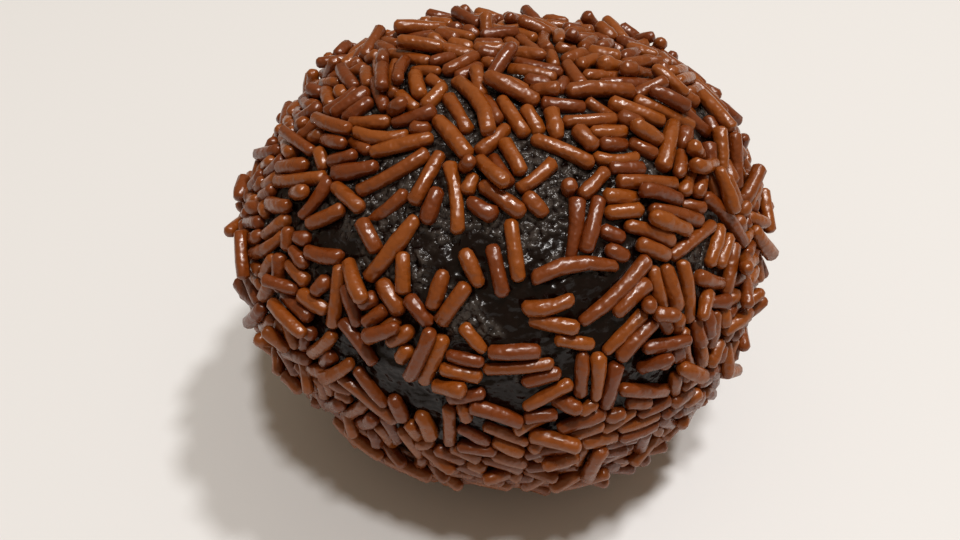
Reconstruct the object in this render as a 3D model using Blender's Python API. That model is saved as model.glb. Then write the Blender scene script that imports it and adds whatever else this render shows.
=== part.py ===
"""A rum ball rolled in chocolate sprinkles, at its real size.

It is one solid: the mass, a ball a little flattened and uneven, with a small flat spot to rest on, and the
largest of the sprinkles that lie in its surface. Metres, +Z up, the front towards -Y. The origin is the
middle of the flat spot. A place on the ball is an azimuth, from the front towards +X, and an elevation.
"""

import math

import bmesh
import bpy
import numpy as np

MM = 0.001

# The ball over its sprinkles
BALL_HEIGHT = 48.0 * MM
CRUST = 1.7 * MM

# The mass under the sprinkles
MASS_RADIUS = 27.7 * MM
MASS_HALF_HEIGHT = 23.7 * MM
ROUNDNESS = 2.1
CENTRE = np.array([0.0, 0.0, BALL_HEIGHT - CRUST - MASS_HALF_HEIGHT])
# Azimuth, elevation, how far it swells or sinks in mm, and its spread in degrees
SHAPED_BY_HAND = (
    (85, 20, -1.0, 26),
    (110, 45, 1.9, 26),
    (160, 65, -3.2, 26),
    (-130, 55, 1.5, 26),
    (-95, 30, -1.1, 26),
    (-70, 5, 2.7, 26),
    (-45, -20, -2.0, 26),
    (-10, -30, 0.8, 26),
    (60, -5, 0.2, 26),
)
UNDULATIONS = 26
UNDULATION_HEIGHT = 0.35 * MM
UNDULATION_SPREAD = math.radians(11)

# The sprinkles
SEED = 73
SITES = 2450
SITE_SPREAD = 1.1 * MM
SPRINKLE_RADIUS = 0.74 * MM
RADIUS_SPREAD = 0.055
SHORTEST, USUAL_LENGTH, LENGTH_SPREAD, LONGEST = 2.2 * MM, 4.0 * MM, 1.15 * MM, 7.2 * MM
BEND_PER_LENGTH = 0.007 / MM
PRESSED_LEAST, PRESSED_MOST = 0.25 * MM, 0.6 * MM
DUG_IN = 0.1
DUG_LEAST, DUG_MOST = 0.7 * MM, 1.7 * MM
DROPPED_FROM = 1.1 * MM
STANDOUT_DROP = 1.5 * MM
FLOOR_GAP = 0.3 * MM
COVERED = 0.86
PROUD, PROUD_END = 1.55 * MM, 2.0 * MM
# Where rolling has combed them: azimuth, elevation, reach and turn in degrees, and the share of spread left
COMBED = (
    (0, -60, 50, 0, 0.35),
    (-73, 40, 19, 51, 0.3),
    (-18, 81, 13, 116, 0.3),
    (86, 62, 16, 106, 0.4),
    (70, 31, 12, 55, 0.4),
    (39, 43, 9, 149, 0.3),
    (-50, -12, 11, 151, 0.35),
    (-23, -5, 10, 89, 0.25),
    (1, -3, 14, 174, 0.25),
    (25, 0, 12, 12, 0.4),
)
# Where fewer stuck: azimuth, elevation and reach in degrees, and the share that stayed
SPARSE = (
    (-8, 20, 33, 0.7),
    (150, -5, 32, 0.68),
)
# Bare patches of the mass: azimuth, elevation, radius in mm
BARE = (
    (-43, 31, 2.9),
    (-15, 36, 2.3),
    (-9, 28, 2.0),
    (-1, 25, 1.9),
    (19, 29, 2.3),
    (13, 41, 2.0),
    (-17, 8, 2.7),
    (-2, 14, 2.0),
    (23, 8, 2.3),
    (33, 8, 2.0),
    (43, 22, 1.8),
    (17, -5, 1.6),
)
BARE_BEHIND = 16
BARE_BEHIND_RADIUS = (1.5 * MM, 2.8 * MM)
# Sprinkles that stand out: azimuth, elevation, turn from level, length and bend in mm
STANDOUTS = (
    (-25, 69, 131, 8.9, 0.9),
    (-30, 68, 140, 5.5, 0.1),
    (-25, 62, 152, 6.0, 0.1),
    (-43, 55, 46, 6.3, 0.0),
    (-38, 49, 53, 7.7, 0.2),
    (-28, 51, 97, 5.7, 0.0),
    (-17, 49, 114, 7.1, 0.3),
    (-30, 36, 67, 7.6, 0.1),
    (-34, 36, 148, 3.6, 0.0),
    (16, 35, 181, 8.0, 0.8),
    (9, 30, 10, 4.8, 0.4),
    (2, 40, 98, 5.7, 0.0),
    (-2, 36, 107, 4.9, 0.0),
    (-8, 36, 120, 3.8, 0.0),
    (-15, 31, 84, 3.9, 0.0),
    (-11, 29, 63, 4.7, 0.0),
    (-25, 27, 140, 3.9, 0.0),
    (0, 59, 118, 4.3, 0.1),
    (9, 55, 32, 4.6, 0.2),
    (22, 59, 137, 6.3, 0.2),
    (-2, 50, 138, 5.1, 0.0),
    (25, 30, 27, 8.7, 0.4),
    (25, 22, 34, 5.4, 0.0),
    (23, 43, 55, 5.5, 0.1),
    (49, 32, 172, 7.1, 0.0),
    (37, 26, 87, 4.9, 0.1),
    (62, 29, 107, 8.2, 0.7),
    (47, 37, 142, 6.4, 0.1),
    (45, 46, 150, 6.7, 0.1),
    (62, 49, 22, 6.5, 0.0),
    (66, 67, 119, 7.2, 0.5),
    (-44, 28, 10, 4.6, 0.3),
    (-38, 23, 102, 6.3, 0.1),
    (-64, 35, 39, 7.3, 0.1),
    (-49, 35, 54, 4.7, 0.1),
    (-61, 25, 64, 4.8, 0.0),
    (2, 21, 1, 4.8, 0.0),
    (14, 22, 159, 3.8, 0.0),
    (-30, 16, 139, 5.3, 0.1),
    (-28, 2, 154, 7.4, 0.1),
    (-10, 2, 89, 5.6, 0.0),
    (9, 11, 30, 5.3, 0.0),
)
STANDOUT_GIVE = 0.05
STANDOUT_ROOM = 1.35 * MM
STANDOUT_STEPS = (-0.35, 0.0, 0.35)

# How the sprinkles settle
ROUNDS = 140
RESTING_ROUNDS = 40
ROUNDS_PER_SEARCH = 10
SETTLE_STEP = 0.04 * MM
PUSH_SHARE = 0.9
CLEAR_SHARE = 0.25

# The sprinkles that the solid shows
SHOWN = 240
SHOWN_SPACING = 4.5 * MM
SHOWN_SUNK = 0.3 * MM
MASS_SUBDIVISIONS = 4
SIDES = 5
RINGS, RINGS_BENT = 3, 4
END_RING = 0.5
BENT = 0.35 * MM

MASS_COLOUR, MASS_ROUGHNESS = (0.030, 0.016, 0.012, 1.0), 0.35
SPRINKLE_COLOUR, SPRINKLE_ROUGHNESS = (0.205, 0.075, 0.026, 1.0), 0.38

GOLDEN_ANGLE = math.pi * (3.0 - math.sqrt(5.0))
QUARTER_TURN = math.pi / 2
PROBE = 0.02 * MM
ON_THE_AXIS = 1e-4
TINY = 1e-12


def start_collection(name):
    """An empty collection in the scene."""
    made = bpy.data.collections.new(name)
    bpy.context.scene.collection.children.link(made)
    return made


def make_material(name, colour, roughness):
    """A Principled material with one colour and one roughness."""
    made = bpy.data.materials.new(name)
    made.use_nodes = True
    made.diffuse_color = colour
    shader = made.node_tree.nodes["Principled BSDF"]
    shader.inputs["Base Color"].default_value = colour
    shader.inputs["Roughness"].default_value = roughness
    shader.inputs["Metallic"].default_value = 0.0
    return made


def dot(a, b):
    """Dot products of two lists of vectors."""
    return (a * b).sum(axis=1)


def unit(vectors):
    """The vectors at length one."""
    return vectors / np.sqrt(np.maximum(dot(vectors, vectors), TINY))[:, None]


def ways_to(azimuths, elevations):
    """Unit vectors from the ball's centre towards azimuths and elevations in degrees."""
    azimuth, elevation = np.radians(azimuths), np.radians(elevations)
    flat = np.cos(elevation)
    return np.stack([np.sin(azimuth) * flat, -np.cos(azimuth) * flat, np.sin(elevation)], axis=1)


def spiral(count):
    """Unit vectors spread evenly over a ball: a spiral whose steps turn by the golden angle."""
    step = np.arange(count)
    up = 1.0 - (2.0 * step + 1.0) / count
    flat = np.sqrt(1.0 - up * up)
    turn = step * GOLDEN_ANGLE
    return np.stack([flat * np.cos(turn), flat * np.sin(turn), up], axis=1)


def shape_of_mass(draws):
    """The swellings and dents of the mass: their directions, heights and spreads."""
    azimuth, elevation, height, spread = np.array(SHAPED_BY_HAND, float).T
    loose = unit(draws.normal(size=(UNDULATIONS, 3)))
    return {
        "ways": np.concatenate([ways_to(azimuth, elevation), loose]),
        "heights": np.concatenate([height * MM, draws.normal(size=UNDULATIONS) * UNDULATION_HEIGHT]),
        "spreads": np.concatenate([np.radians(spread), np.full(UNDULATIONS, UNDULATION_SPREAD)]),
    }


def mass_radius(shape, ways):
    """From the centre out to the mass: a rounded spheroid, plus a soft hump or dent for each swelling.

    The spheroid is where (across / radius) ** n + (up / half height) ** n is one, and a hump falls away as
    the bell curve of the angle from its middle.
    """
    across = np.hypot(ways[:, 0], ways[:, 1]) / MASS_RADIUS
    up = np.abs(ways[:, 2]) / MASS_HALF_HEIGHT
    spheroid = (across**ROUNDNESS + up**ROUNDNESS) ** (-1.0 / ROUNDNESS)
    angles = np.arccos(np.clip(ways @ shape["ways"].T, -1.0, 1.0))
    return spheroid + np.exp(-0.5 * (angles / shape["spreads"]) ** 2) @ shape["heights"]


def above_mass(shape, points):
    """How high points stand above the mass, and the unit vectors straight out of it."""

    def beyond(places):
        out = places - CENTRE
        far = np.sqrt(dot(out, out))
        return far - mass_radius(shape, out / far[:, None])

    here = beyond(points)
    slope = np.stack([(beyond(points + PROBE * axis) - here) / PROBE for axis in np.eye(3)], axis=1)
    steepness = np.sqrt(dot(slope, slope))
    return here / steepness, slope / steepness[:, None]


def bare_patches(draws):
    """Middles and radii of the bare patches, those at the front and the ones behind."""
    azimuth, elevation, radius = np.array(BARE, float).T
    behind = unit(draws.normal(size=(BARE_BEHIND, 3)))
    behind[:, 1] = np.abs(behind[:, 1])
    radii = draws.uniform(*BARE_BEHIND_RADIUS, BARE_BEHIND)
    return np.concatenate([ways_to(azimuth, elevation), behind]), np.concatenate([radius * MM, radii])


def distance_to_patches(ways, patches):
    """Distances along the surface from each direction to each patch's middle."""
    middles, _ = patches
    return np.arccos(np.clip(ways @ middles.T, -1.0, 1.0)) * MASS_RADIUS


def level_and_up(ways):
    """Unit vectors along the surface, level towards greater azimuths, and up at right angles to that."""
    level = unit(np.cross([0.0, 0.0, 1.0], ways))
    return level, np.cross(ways, level)


def comb(ways, turns):
    """Turns from level, drawn together around a comb's lie wherever one has passed.

    A lie is a direction in space, so its turn at a place is arctan(lie . up / lie . level) there.
    """
    level, up = level_and_up(ways)
    for azimuth, elevation, reach, turn, spread in COMBED:
        middle = ways_to([azimuth], [elevation])
        level_there, up_there = level_and_up(middle)
        lie = math.cos(math.radians(turn)) * level_there[0] + math.sin(math.radians(turn)) * up_there[0]
        inside = np.arccos(np.clip(ways @ middle[0], -1.0, 1.0)) < math.radians(reach)
        turns = np.where(inside, np.arctan2(up @ lie, level @ lie) + turns * spread, turns)
    return turns


def thinned(ways):
    """The share of sprinkles that stayed at each direction."""
    share = np.ones(len(ways))
    for azimuth, elevation, reach, stayed in SPARSE:
        apart = np.arccos(np.clip(ways @ ways_to([azimuth], [elevation])[0], -1.0, 1.0))
        inside = apart < math.radians(reach)
        share = np.where(inside, stayed, share)
    return share


def strew(shape, draws):
    """Sprinkles before they settle: standouts first, then those at the jittered sites that are kept."""
    patches = bare_patches(draws)
    sites = unit(spiral(SITES) * MASS_RADIUS + draws.normal(size=(SITES, 3)) * SITE_SPREAD)
    squeeze = (mass_radius(shape, sites) / MASS_RADIUS) ** 2
    clear = (distance_to_patches(sites, patches) > patches[1]).all(axis=1)
    kept = (draws.uniform(size=SITES) < COVERED * squeeze * thinned(sites)) & clear
    azimuth, elevation, turn, length, bend = np.array(STANDOUTS, float).T
    marked = ways_to(azimuth, elevation)
    level, up = level_and_up(marked)
    lie = level * np.cos(np.radians(turn))[:, None] + up * np.sin(np.radians(turn))[:, None]
    for share in STANDOUT_STEPS:
        along = unit(marked * MASS_RADIUS + lie * (length * MM * share)[:, None])
        apart = np.arccos(np.clip(sites @ along.T, -1.0, 1.0)).min(axis=1) * MASS_RADIUS
        kept &= apart > STANDOUT_ROOM
    loose = sites[kept]
    count = len(loose)
    ways = np.concatenate([marked, loose])
    lengths = np.clip(draws.normal(USUAL_LENGTH, LENGTH_SPREAD, count), SHORTEST, LONGEST)
    bends = np.abs(draws.normal(size=count)) * BEND_PER_LENGTH * lengths**2
    turns = comb(loose, draws.uniform(-QUARTER_TURN, QUARTER_TURN, count))
    turns = np.concatenate([np.radians(turn), turns])
    radii = SPRINKLE_RADIUS * (1.0 + RADIUS_SPREAD * draws.normal(size=len(ways)))
    drops = [np.full(len(marked), STANDOUT_DROP), draws.uniform(0.0, DROPPED_FROM, count)]
    drop = radii + np.concatenate(drops)
    pressed = draws.uniform(PRESSED_LEAST, PRESSED_MOST, (2, len(ways)))
    dug = draws.uniform(size=count) < DUG_IN
    pressed[0, len(marked) :][dug] = draws.uniform(DUG_LEAST, DUG_MOST, dug.sum())
    surface = CENTRE + ways * mass_radius(shape, ways)[:, None]
    _, out = above_mass(shape, surface)
    level, up = level_and_up(out)
    along = level * np.cos(turns)[:, None] + up * np.sin(turns)[:, None]
    spans = np.concatenate([length * MM, lengths]) - 2.0 * radii
    middle = surface + out * drop[:, None]
    return {
        "tails": middle - along * spans[:, None] / 2,
        "heads": middle + along * spans[:, None] / 2,
        "spans": spans,
        "radii": radii,
        "bends": np.concatenate([bend * MM, bends]),
        "pressed": pressed,
        "give": np.concatenate([np.full(len(marked), STANDOUT_GIVE), np.ones(count)]),
        "patches": patches,
    }


def neighbours(strewn):
    """Pairs of sprinkles near enough to meet soon."""
    middles = (strewn["tails"] + strewn["heads"]) / 2
    reach = strewn["spans"] / 2 + strewn["radii"] + SPRINKLE_RADIUS / 2
    gaps = middles[:, None, :] - middles[None, :, :]
    near = (gaps * gaps).sum(axis=2) < (reach[:, None] + reach[None, :]) ** 2
    return np.nonzero(np.triu(near, 1))


def nearest(first_tails, first_axes, second_tails, second_axes):
    """Fractions along pairs of straight lines at which the two come nearest each other."""
    gap = first_tails - second_tails
    first, second = dot(first_axes, first_axes), dot(second_axes, second_axes)
    both, first_gap, second_gap = dot(first_axes, second_axes), dot(first_axes, gap), dot(second_axes, gap)
    spread = np.maximum(first * second - both * both, TINY * TINY)
    on_first = np.clip((both * second_gap - second * first_gap) / spread, 0.0, 1.0)
    on_second = np.clip((both * on_first + second_gap) / second, 0.0, 1.0)
    on_first = np.clip((both * on_second - first_gap) / first, 0.0, 1.0)
    return on_first, on_second


def push_apart(strewn, pairs):
    """Moves the ends of sprinkles that overlap, each by its share, along the line between them."""
    i, j = pairs
    tails, heads = strewn["tails"], strewn["heads"]
    axes = heads - tails
    on_i, on_j = nearest(tails[i], axes[i], tails[j], axes[j])
    line = tails[i] + axes[i] * on_i[:, None] - tails[j] - axes[j] * on_j[:, None]
    apart = np.sqrt(np.maximum(dot(line, line), TINY))
    overlap = np.maximum(strewn["radii"][i] + strewn["radii"][j] - apart, 0.0)
    push = line * (overlap / apart * PUSH_SHARE)[:, None]
    share = (strewn["give"][i] / (strewn["give"][i] + strewn["give"][j]))[:, None]
    moves = np.zeros((2, len(tails), 3))
    np.add.at(moves[0], i, push * share * (1.0 - on_i)[:, None])
    np.add.at(moves[1], i, push * share * on_i[:, None])
    np.add.at(moves[0], j, -push * (1.0 - share) * (1.0 - on_j)[:, None])
    np.add.at(moves[1], j, -push * (1.0 - share) * on_j[:, None])
    strewn["tails"] = tails + moves[0]
    strewn["heads"] = heads + moves[1]


def keep_lengths(strewn):
    """Brings each sprinkle's ends back to their distance from each other."""
    middles = (strewn["tails"] + strewn["heads"]) / 2
    half = unit(strewn["heads"] - strewn["tails"]) * strewn["spans"][:, None] / 2
    strewn["tails"] = middles - half
    strewn["heads"] = middles + half


def rest_ends(strewn, shape, step):
    """Lifts ends that are too deep in the mass, lets the others sink by a step, and clears bare patches."""
    middles, radii = strewn["patches"]
    for end, pressed in zip(("tails", "heads"), strewn["pressed"]):
        points = strewn[end]
        height, out = above_mass(shape, points)
        lack = strewn["radii"] - pressed - height
        points = points + out * np.maximum(lack, -step)[:, None]
        ways = unit(points - CENTRE)
        inside = np.maximum(radii - distance_to_patches(ways, strewn["patches"]), 0.0)
        away = ways * inside.sum(axis=1)[:, None] - inside @ middles
        points = points + away * (CLEAR_SHARE * strewn["give"])[:, None]
        points[:, 2] = np.maximum(points[:, 2], strewn["radii"] + FLOOR_GAP)
        strewn[end] = points


def settle(strewn, shape):
    """The sprinkles slide off each other, or come to rest across each other, and sink onto the mass."""
    for count in range(ROUNDS + RESTING_ROUNDS):
        if count % ROUNDS_PER_SEARCH == 0:
            pairs = neighbours(strewn)
        push_apart(strewn, pairs)
        keep_lengths(strewn)
        rest_ends(strewn, shape, SETTLE_STEP if count < ROUNDS else 0.0)
        keep_lengths(strewn)


def brush_off(strewn, shape):
    """Takes away the sprinkles that lie on others and stand too proud, but no standout."""
    height, _ = above_mass(shape, (strewn["tails"] + strewn["heads"]) / 2)
    tail, _ = above_mass(shape, strewn["tails"])
    head, _ = above_mass(shape, strewn["heads"])
    kept = (height < PROUD) & (np.maximum(tail, head) < PROUD_END) | (strewn["give"] < 1.0)
    for name in ("tails", "heads", "spans", "radii", "bends", "give"):
        strewn[name] = strewn[name][kept]


def choose_shown(strewn, shape):
    """The largest sprinkles that are well sunk in the mass, no two of them with middles too close."""
    height_tail, _ = above_mass(shape, strewn["tails"])
    height_head, _ = above_mass(shape, strewn["heads"])
    sunk = strewn["radii"] - np.minimum(height_tail, height_head)
    middles = (strewn["tails"] + strewn["heads"]) / 2
    chosen = []
    for index in np.argsort(-strewn["spans"], kind="stable"):
        if len(chosen) == SHOWN:
            break
        if sunk[index] < SHOWN_SUNK:
            continue
        gaps = middles[chosen] - middles[index]
        if len(chosen) and dot(gaps, gaps).min() < SHOWN_SPACING**2:
            continue
        chosen.append(int(index))
    return chosen


def build_mass(shape, collection, material):
    """The mass: a ball of triangles pushed out to the mass's radius and cut level for the flat spot."""
    mesh = bpy.data.meshes.new("rum_ball")
    bm = bmesh.new()
    bmesh.ops.create_icosphere(bm, subdivisions=MASS_SUBDIVISIONS, radius=1.0)
    ways = unit(np.array([corner.co for corner in bm.verts]))
    places = CENTRE + ways * mass_radius(shape, ways)[:, None]
    for corner, place in zip(bm.verts, places):
        corner.co = place
    everything = bm.verts[:] + bm.edges[:] + bm.faces[:]
    cut = bmesh.ops.bisect_plane(
        bm, geom=everything, dist=PROBE, plane_co=(0, 0, 0), plane_no=(0, 0, -1), clear_outer=True
    )
    rim = [piece for piece in cut["geom_cut"] if isinstance(piece, bmesh.types.BMEdge)]
    bmesh.ops.contextual_create(bm, geom=rim)
    bmesh.ops.recalc_face_normals(bm, faces=bm.faces[:])
    bm.to_mesh(mesh)
    bm.free()
    mesh.materials.append(material)
    made = bpy.data.objects.new("rum_ball", mesh)
    collection.objects.link(made)
    return made


def build_sprinkle(name, tail, head, radius, bend, out, collection, material):
    """A ball of few sides drawn out from tail to head, with blunt ends, and bent sideways at its middle."""
    rings = RINGS_BENT if bend > BENT else RINGS
    mesh = bpy.data.meshes.new(name)
    bm = bmesh.new()
    bmesh.ops.create_uvsphere(bm, u_segments=SIDES, v_segments=rings, radius=1.0)
    along = (head - tail) / np.linalg.norm(head - tail)
    side = np.cross(along, out)
    side /= np.linalg.norm(side)
    up = np.cross(side, along)
    middle = (head + tail) / 2
    half = np.linalg.norm(head - tail) / 2
    for corner in bm.verts:
        x, y, z = corner.co
        spoke = math.hypot(x, y)
        pole = spoke < ON_THE_AXIS
        ring = 0.0 if pole else radius / spoke
        beyond = half + radius * (1.0 if pole else END_RING)
        reach = 0.0 if abs(z) < ON_THE_AXIS else math.copysign(beyond, z)
        bow = bend * (1.0 - (reach / (half + radius)) ** 2)
        place = middle + along * reach + side * (x * ring + bow) + up * (y * ring)
        corner.co = place
    bmesh.ops.recalc_face_normals(bm, faces=bm.faces[:])
    bm.to_mesh(mesh)
    bm.free()
    mesh.materials.append(material)
    made = bpy.data.objects.new(name, mesh)
    collection.objects.link(made)
    return made


def fuse(ball, pieces):
    """Joins the ball and the pieces of a collection into one closed body, and removes the pieces."""
    union = ball.modifiers.new("sprinkles", "BOOLEAN")
    union.operation = "UNION"
    union.operand_type = "COLLECTION"
    union.collection = pieces
    union.solver = "EXACT"
    union.material_mode = "TRANSFER"
    evaluated = ball.evaluated_get(bpy.context.evaluated_depsgraph_get())
    fused = bpy.data.meshes.new_from_object(evaluated)
    ball.modifiers.clear()
    ball.data = fused
    for piece in list(pieces.objects):
        bpy.data.objects.remove(piece)
    bpy.data.collections.remove(pieces)


def main():
    for leftover in list(bpy.data.objects):
        bpy.data.objects.remove(leftover)
    parts = start_collection("rum ball")
    pieces = start_collection("sprinkles")
    mass_material = make_material("rum ball mass", MASS_COLOUR, MASS_ROUGHNESS)
    sprinkle_material = make_material("chocolate sprinkle", SPRINKLE_COLOUR, SPRINKLE_ROUGHNESS)
    draws = np.random.default_rng(SEED)
    shape = shape_of_mass(draws)
    strewn = strew(shape, draws)
    settle(strewn, shape)
    brush_off(strewn, shape)
    ball = build_mass(shape, parts, mass_material)
    for index in choose_shown(strewn, shape):
        tail, head = strewn["tails"][index], strewn["heads"][index]
        _, out = above_mass(shape, ((tail + head) / 2)[None, :])
        name = f"sprinkle_{index:04d}"
        radius, bend = strewn["radii"][index], strewn["bends"][index]
        build_sprinkle(name, tail, head, radius, bend, out[0], pieces, sprinkle_material)
    fuse(ball, pieces)


main()
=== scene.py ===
# %% [markdown]
# # A rum ball rolled in chocolate sprinkles
#
# A rum ball is a lump of dark, moist cake mass, rolled between the palms and then in chocolate sprinkles.
# This lesson dresses its plain solid for a picture: the mass gets its crumb and its gloss, and well over
# a thousand sprinkles are strewn over it and settle, each with its own length, bend and shade of brown.
# The solid is loaded first. It gives the size that the finished ball has to keep.

# %% Load the solid
import math

import bpy
import numpy as np
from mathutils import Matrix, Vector


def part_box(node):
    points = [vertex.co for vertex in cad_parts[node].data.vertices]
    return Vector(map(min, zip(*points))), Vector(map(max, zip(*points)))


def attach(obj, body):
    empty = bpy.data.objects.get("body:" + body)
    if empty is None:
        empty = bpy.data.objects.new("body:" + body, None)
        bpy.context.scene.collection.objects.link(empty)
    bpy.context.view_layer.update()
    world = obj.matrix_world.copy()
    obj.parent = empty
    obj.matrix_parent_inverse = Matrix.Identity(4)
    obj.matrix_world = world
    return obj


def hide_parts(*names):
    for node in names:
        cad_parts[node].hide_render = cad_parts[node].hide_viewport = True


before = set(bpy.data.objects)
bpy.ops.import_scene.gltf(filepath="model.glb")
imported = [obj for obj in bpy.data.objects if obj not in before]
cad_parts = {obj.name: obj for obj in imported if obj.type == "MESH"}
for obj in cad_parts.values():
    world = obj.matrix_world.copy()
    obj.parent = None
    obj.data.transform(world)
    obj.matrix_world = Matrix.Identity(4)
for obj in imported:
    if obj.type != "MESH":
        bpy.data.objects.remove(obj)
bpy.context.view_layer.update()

MM = 0.001
low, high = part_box("rum_ball")
print("the solid is", [round(side / MM, 1) for side in high - low], "mm")

# %% [markdown]
# ## Sizes
#
# The ball starts from a few sizes that a ruler could give: how wide and high the mass is, how thick the
# crust of sprinkles on it is, and how thick and long a sprinkle is. They are the sizes that the solid was
# made from, so what is made here lies over it. Further on, five tables add what is this ball's own. A place
# on the ball is given as on a globe, as an azimuth from the front towards the right, and an elevation.

# %% Name the sizes
BALL_HEIGHT = 48.0 * MM
CRUST = 1.7 * MM
MASS_RADIUS = 27.7 * MM
MASS_HALF_HEIGHT = 23.7 * MM
ROUNDNESS = 2.1
CENTRE = np.array([0.0, 0.0, BALL_HEIGHT - CRUST - MASS_HALF_HEIGHT])
SPRINKLE_RADIUS = 0.74 * MM
RADIUS_SPREAD = 0.055
SHORTEST, USUAL_LENGTH, LENGTH_SPREAD, LONGEST = 2.2 * MM, 4.0 * MM, 1.15 * MM, 7.2 * MM
BEND_PER_LENGTH = 0.007 / MM
SEED = 73
print(f"the mass is {2 * MASS_RADIUS / MM:.1f} mm across under a crust of {CRUST / MM:.1f} mm")

# %% [markdown]
# ## A few words of vector arithmetic
#
# The shapes are worked out on whole lists of points at once, which is what numpy is for. These helpers
# read like the words they stand for: the dot product of two lists of vectors, vectors brought to length
# one, and the directions that belong to azimuths and elevations.

# %% Vector helpers
TINY = 1e-12


def dot(a, b):
    """Dot products of two lists of vectors."""
    return (a * b).sum(axis=1)


def unit(vectors):
    """The vectors at length one."""
    return vectors / np.sqrt(np.maximum(dot(vectors, vectors), TINY))[:, None]


def ways_to(azimuths, elevations):
    """Unit vectors from the ball's centre towards azimuths and elevations in degrees."""
    azimuth, elevation = np.radians(azimuths), np.radians(elevations)
    flat = np.cos(elevation)
    return np.stack([np.sin(azimuth) * flat, -np.cos(azimuth) * flat, np.sin(elevation)], axis=1)


print("azimuth 0 looks along", ways_to([0], [0]).round(2))

# %% [markdown]
# ## The form of the mass
#
# Hands don't roll a true sphere. The mass sags a little under its own weight, one shoulder is fuller, the
# crown leans, and the palms leave soft swellings everywhere. A sculptor would push these in with a brush.
# Here the radius is a function of direction: a spheroid, plus a soft hump or dent for each swelling, so
# the same line of code serves the surface itself and every sprinkle that has to lie on it. The heights of
# the nine wide swellings weren't chosen. A program fitted them, so that the outline comes out as pictured.

# %% Shape the mass
# On a ring round the outline: azimuth and elevation in degrees, fitted height in mm, spread in degrees
FITTED_SWELLINGS = (
    (85, 20, -1.0, 26),
    (110, 45, 1.9, 26),
    (160, 65, -3.2, 26),
    (-130, 55, 1.5, 26),
    (-95, 30, -1.1, 26),
    (-70, 5, 2.7, 26),
    (-45, -20, -2.0, 26),
    (-10, -30, 0.8, 26),
    (60, -5, 0.2, 26),
)
UNDULATIONS = 26
UNDULATION_HEIGHT = 0.35 * MM
UNDULATION_SPREAD = math.radians(11)
PROBE = 0.02 * MM


def shape_of_mass(draws):
    """The swellings and dents of the mass: their directions, heights and spreads."""
    azimuth, elevation, height, spread = np.array(FITTED_SWELLINGS, float).T
    loose = unit(draws.normal(size=(UNDULATIONS, 3)))
    return {
        "ways": np.concatenate([ways_to(azimuth, elevation), loose]),
        "heights": np.concatenate([height * MM, draws.normal(size=UNDULATIONS) * UNDULATION_HEIGHT]),
        "spreads": np.concatenate([np.radians(spread), np.full(UNDULATIONS, UNDULATION_SPREAD)]),
    }


def mass_radius(shape, ways):
    """From the centre out to the mass: a rounded spheroid, plus a soft hump or dent for each swelling.

    The spheroid is where (across / radius) ** n + (up / half height) ** n is one, and a hump falls away as
    the bell curve of the angle from its middle.
    """
    across = np.hypot(ways[:, 0], ways[:, 1]) / MASS_RADIUS
    up = np.abs(ways[:, 2]) / MASS_HALF_HEIGHT
    spheroid = (across**ROUNDNESS + up**ROUNDNESS) ** (-1.0 / ROUNDNESS)
    angles = np.arccos(np.clip(ways @ shape["ways"].T, -1.0, 1.0))
    return spheroid + np.exp(-0.5 * (angles / shape["spreads"]) ** 2) @ shape["heights"]


def above_mass(shape, points):
    """How high points stand above the mass, and the unit vectors straight out of it."""

    def beyond(places):
        out = places - CENTRE
        far = np.sqrt(dot(out, out))
        return far - mass_radius(shape, out / far[:, None])

    here = beyond(points)
    slope = np.stack([(beyond(points + PROBE * axis) - here) / PROBE for axis in np.eye(3)], axis=1)
    steepness = np.sqrt(dot(slope, slope))
    return here / steepness, slope / steepness[:, None]


draws = np.random.default_rng(SEED)
shape = shape_of_mass(draws)
front_right_top = ways_to([0, 90, 0], [0, 0, 90])
print("radii to the front, right and top:", (mass_radius(shape, front_right_top) / MM).round(1), "mm")

# %% [markdown]
# ## Bare patches
#
# Sprinkles don't stick everywhere. Where the mass was dry or a finger held it, a dark patch stays bare and
# shows the gloss underneath. The front's patches lie where the picture shows them: their middles were picked
# in it, and a program turned the pixels into angles. The others come from the dice.

# %% Place the bare patches
# Azimuth and elevation in degrees, and radius in mm
BARE = (
    (-43, 31, 2.9),
    (-15, 36, 2.3),
    (-9, 28, 2.0),
    (-1, 25, 1.9),
    (19, 29, 2.3),
    (13, 41, 2.0),
    (-17, 8, 2.7),
    (-2, 14, 2.0),
    (23, 8, 2.3),
    (33, 8, 2.0),
    (43, 22, 1.8),
    (17, -5, 1.6),
)
BARE_BEHIND = 16
BARE_BEHIND_RADIUS = (1.5 * MM, 2.8 * MM)


def bare_patches(draws):
    """Middles and radii of the bare patches, those at the front and the ones behind."""
    azimuth, elevation, radius = np.array(BARE, float).T
    behind = unit(draws.normal(size=(BARE_BEHIND, 3)))
    behind[:, 1] = np.abs(behind[:, 1])
    radii = draws.uniform(*BARE_BEHIND_RADIUS, BARE_BEHIND)
    return np.concatenate([ways_to(azimuth, elevation), behind]), np.concatenate([radius * MM, radii])


def distance_to_patches(ways, patches):
    """Distances along the surface from each direction to each patch's middle."""
    middles, _ = patches
    return np.arccos(np.clip(ways @ middles.T, -1.0, 1.0)) * MASS_RADIUS


print(len(BARE), "patches in front and", BARE_BEHIND, "behind")
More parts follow.
